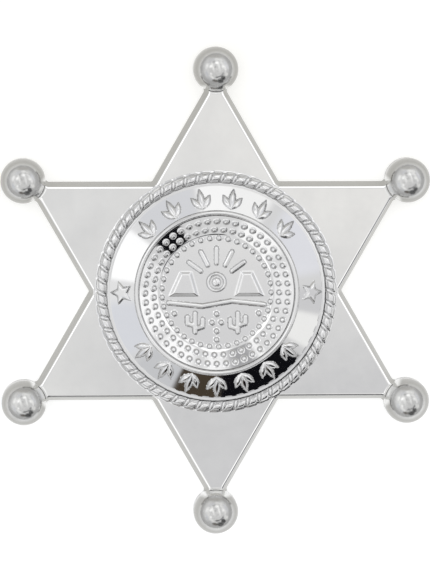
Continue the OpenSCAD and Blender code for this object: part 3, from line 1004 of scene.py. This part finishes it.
def pin_back():
    """Steel bar with two lugs and a wire between them, in the hollow back."""
    pin_low, pin_high = box_mm("pin_back")
    half_l = (pin_high[0] - pin_low[0]) / 2
    bar_top = pin_high[2]
    low_z = pin_low[2]
    lug_x = half_l - PIN_LUG_INSET - PIN_LUG_L / 2
    wire_z = low_z + PIN_WIRE_D / 2
    bar = bevelled_block((-half_l, PIN_Y - PIN_BAR_W / 2, bar_top - PIN_BAR_T),
                         (half_l, PIN_Y + PIN_BAR_W / 2, bar_top), PIN_BAR_EDGE)
    parts = [bar]
    for side in (-1, 1):
        parts.append(bevelled_block(
            (side * lug_x - PIN_LUG_L / 2, PIN_Y - PIN_LUG_W / 2, low_z),
            (side * lug_x + PIN_LUG_L / 2, PIN_Y + PIN_LUG_W / 2, bar_top - PIN_LUG_SHORT), PIN_LUG_EDGE))
    turn = np.linspace(0, 2 * math.pi, PIN_WIRE_SIDES, endpoint=False)
    wire = []
    for x, r in ((-lug_x, 0), (-lug_x, PIN_WIRE_D / 2), (lug_x, PIN_WIRE_D / 2), (lug_x, 0)):
        wire.append(np.column_stack([
            np.full(PIN_WIRE_SIDES, x), PIN_Y + r * np.cos(turn), wire_z + r * np.sin(turn)]))
    parts.append(skin(wire))
    points, faces = joined(*parts)
    piece = make_piece("steel_pin", points, faces, steel)
    mount(piece, "pin_steel", "pin_back")


star_plate()
tip_balls()
rope_border()
medallion_band()
bezel_ring()
seal_disc()
seal_dots()
pin_back()


# floor, light and camera

# lengths of the floor and of the camera are in metres
CAMERA_DISTANCE = 0.5
# the camera stands a little up and left of straight above: tilt, and clock angle towards it
CAMERA_TILT = 5.5
CAMERA_CLOCK = 328
VIEW_LONG_SIDE = 0.0906
SENSOR = 36.0
# point of the badge that the camera looks at
AIM = Vector((-0.02, 0.045, 0)) * MM
FLOOR_SIZE = 6.0
FLOOR_DROP = 0.00002
# own light of the table at its lower and its upper end, and how far from its middle it fades
FLOOR_GLOW = ((0.74, 0.745, 0.75, 1), (0.60, 0.595, 0.57, 1))
FLOOR_FADE = 0.06

# the camera's own axes
side_step = math.sin(math.radians(CAMERA_TILT)) * clock(CAMERA_CLOCK)
back_axis = Vector((*side_step, math.cos(math.radians(CAMERA_TILT))))
right_axis = Vector((0, 1, 0)).cross(back_axis).normalized()
up_axis = back_axis.cross(right_axis)

# plain brightness of the sky, from where the camera stands down to the horizon: (mirror radius, value)
SKY = [(0.0, 0.95), (0.34, 0.94), (0.52, 0.9), (0.61, 0.6), (0.7, 0.56), (0.74, 0.8)]
# soft patches of the sky, each an ellipse as a mirror ball shows it to the camera:
# (right, up, half width, half height, turn, softness, red, green, blue)
PATCHES = [
    # wide panels and the dull top
    (-0.36, -0.04, 0.12, 0.30, -8, 0.40, 1.04, 1.04, 1.04),
    (0.00, 0.54, 0.34, 0.07, 0, 0.50, 0.62, 0.61, 0.58),
    # long lamps on both sides of the camera
    (-0.13, 0.06, 0.032, 0.20, 14, 0.60, 1.55, 1.55, 1.54),
    (0.14, 0.08, 0.032, 0.20, 14, 0.60, 1.50, 1.50, 1.50),
    # far right panel and far left panel, round the camera
    (0.26, 0.24, 0.10, 0.04, -35, 0.35, 1.35, 1.35, 1.35),
    (0.41, 0.02, 0.13, 0.04, -75, 0.35, 1.35, 1.35, 1.35),
    (0.41, -0.18, 0.06, 0.035, -108, 0.35, 1.15, 1.15, 1.15),
    (-0.19, -0.37, 0.13, 0.045, -220, 0.35, 1.33, 1.33, 1.32),
    (-0.33, -0.11, 0.12, 0.045, -265, 0.35, 1.16, 1.16, 1.16),
    (-0.09, 0.28, 0.07, 0.03, 20, 0.50, 0.50, 0.50, 0.51),
    # walls of the tent further out
    (0.05, 0.40, 0.10, 0.05, 0, 0.25, 1.30, 1.30, 1.29),
    (0.21, 0.37, 0.10, 0.05, -20, 0.25, 1.22, 1.22, 1.21),
    (0.45, 0.17, 0.20, 0.05, -60, 0.25, 1.00, 1.01, 1.06),
    (0.51, -0.11, 0.06, 0.05, -95, 0.35, 0.82, 0.82, 0.83),
    (0.48, -0.25, 0.08, 0.06, -112, 0.20, 1.15, 1.15, 1.13),
    (-0.22, -0.46, 0.13, 0.05, -215, 0.25, 0.76, 0.77, 0.79),
    (-0.39, -0.24, 0.13, 0.05, -250, 0.25, 0.93, 0.95, 1.00),
    (-0.39, 0.10, 0.12, 0.06, -292, 0.12, 1.42, 1.42, 1.42),
    (-0.19, 0.33, 0.15, 0.05, -330, 0.20, 0.89, 0.90, 0.93),
    # small lamps and gaps
    (0.05, 0.25, 0.08, 0.055, 0, 0.40, 1.80, 1.80, 1.80),
    (0.32, 0.09, 0.07, 0.05, -60, 0.40, 1.70, 1.70, 1.70),
    (-0.22, -0.235, 0.05, 0.04, -60, 0.40, 1.70, 1.70, 1.70),
    (-0.22, 0.09, 0.07, 0.05, 60, 0.40, 1.80, 1.80, 1.80),
    (0.32, -0.235, 0.06, 0.03, -120, 0.40, 0.10, 0.10, 0.12),
    (0.267, -0.297, 0.045, 0.024, -135, 0.30, 0.10, 0.10, 0.12),
    (0.203, -0.346, 0.045, 0.024, -150, 0.30, 0.10, 0.10, 0.12),
    (0.129, -0.376, 0.045, 0.024, -165, 0.30, 0.06, 0.06, 0.07),
    (0.05, -0.392, 0.06, 0.036, 0, 0.20, 0.01, 0.01, 0.012),
    # dark camera table at the lower right, with its brown leg
    (-0.04, -0.54, 0.13, 0.055, -10, 0.12, 0.075, 0.058, 0.040),
    (0.20, -0.545, 0.14, 0.095, 0, 0.10, 0.006, 0.006, 0.008),
    (0.33, -0.41, 0.10, 0.10, 0, 0.10, 0.006, 0.006, 0.008),
    # round the camera itself, where the flat field is seen
    (0.08, -0.045, 0.035, 0.04, 0, 0.60, 1.10, 1.09, 1.07),
    (0.075, -0.12, 0.05, 0.035, 0, 0.60, 0.80, 0.80, 0.815),
    (0.00, -0.11, 0.025, 0.025, 0, 0.60, 1.03, 1.03, 1.02),
    (-0.02, 0.06, 0.015, 0.03, -30, 0.50, 0.15, 0.15, 0.15),
]


def studio_sky():
    """White studio tent with its panels, lamps and gaps, as light that comes from each direction."""
    world = bpy.data.worlds.new("studio_tent")
    world.use_nodes = True
    tree = world.node_tree
    tree.nodes.clear()
    way = add_node(tree, "ShaderNodeTexCoord").outputs["Generated"]
    half_way = vector_math(tree, "NORMALIZE", vector_math(tree, "ADD", way, back_axis))
    right = vector_math(tree, "DOT_PRODUCT", half_way, right_axis)
    up = vector_math(tree, "DOT_PRODUCT", half_way, up_axis)
    flat = add_node(tree, "ShaderNodeCombineXYZ", inputs={"X": right, "Y": up}).outputs["Vector"]
    reach = vector_math(tree, "LENGTH", flat)
    value = SKY[0][1]
    for (r0, v0), (r1, v1) in zip(SKY, SKY[1:]):
        step = eased(tree, reach, r0, r1, 0.0, v1 - v0)
        value = add_node(tree, "ShaderNodeMath", {"operation": "ADD"}, {0: value, 1: step}).outputs["Value"]
    colour = add_node(tree, "ShaderNodeCombineColor", inputs={
        "Red": value, "Green": value, "Blue": value}).outputs["Color"]
    for place_right, place_up, half_w, half_h, turn, softness, red, green, blue in PATCHES:
        local = add_node(tree, "ShaderNodeMapping", {"vector_type": "TEXTURE"}, {
            "Vector": flat, "Location": (place_right, place_up, 0),
            "Rotation": (0, 0, math.radians(turn)), "Scale": (half_w, half_h, 1)}).outputs["Vector"]
        cover = eased(tree, vector_math(tree, "LENGTH", local), 1 - softness, 1 + softness, 1.0, 0.0)
        colour = blended(tree, cover, colour, (red, green, blue, 1))
    light = add_node(tree, "ShaderNodeBackground", inputs={"Color": colour, "Strength": 1.0})
    add_node(tree, "ShaderNodeOutputWorld", inputs={"Surface": light.outputs["Background"]})
    bpy.context.scene.world = world


def light_table():
    """White photographic table, softly lit from below, a little less towards its upper end."""
    half = FLOOR_SIZE / 2
    mesh = bpy.data.meshes.new("floor")
    corners = [(-half, -half, -FLOOR_DROP), (half, -half, -FLOOR_DROP),
               (half, half, -FLOOR_DROP), (-half, half, -FLOOR_DROP)]
    mesh.from_pydata(corners, [], [(0, 1, 2, 3)])
    material, tree, output, place = new_material("lit_white_acrylic")
    split = add_node(tree, "ShaderNodeSeparateXYZ", inputs={"Vector": place})
    share = eased(tree, split.outputs["Y"], -FLOOR_FADE, FLOOR_FADE)
    glow = blended(tree, share, *FLOOR_GLOW)
    shader = add_node(tree, "ShaderNodeBsdfPrincipled", inputs={
        "Base Color": linear("#BCBCBC"), "Roughness": 0.9, "Specular IOR Level": 0.0,
        "Emission Color": glow, "Emission Strength": 1.0})
    tree.links.new(shader.outputs["BSDF"], output.inputs["Surface"])
    mesh.materials.append(material)
    floor = bpy.data.objects.new("floor", mesh)
    bpy.context.scene.collection.objects.link(floor)


def camera_above():
    """Camera nearly straight above the badge, its long side along +Y."""
    data = bpy.data.cameras.new("camera")
    data.sensor_width = SENSOR
    data.lens = SENSOR * CAMERA_DISTANCE / VIEW_LONG_SIDE
    camera = bpy.data.objects.new("camera", data)
    turn = Matrix((right_axis, up_axis, back_axis)).transposed().to_4x4()
    camera.matrix_world = Matrix.Translation(AIM + back_axis * CAMERA_DISTANCE) @ turn
    bpy.context.scene.collection.objects.link(camera)
    bpy.context.scene.camera = camera


studio_sky()
light_table()
camera_above()
bpy.context.scene.view_settings.view_transform = "Standard"
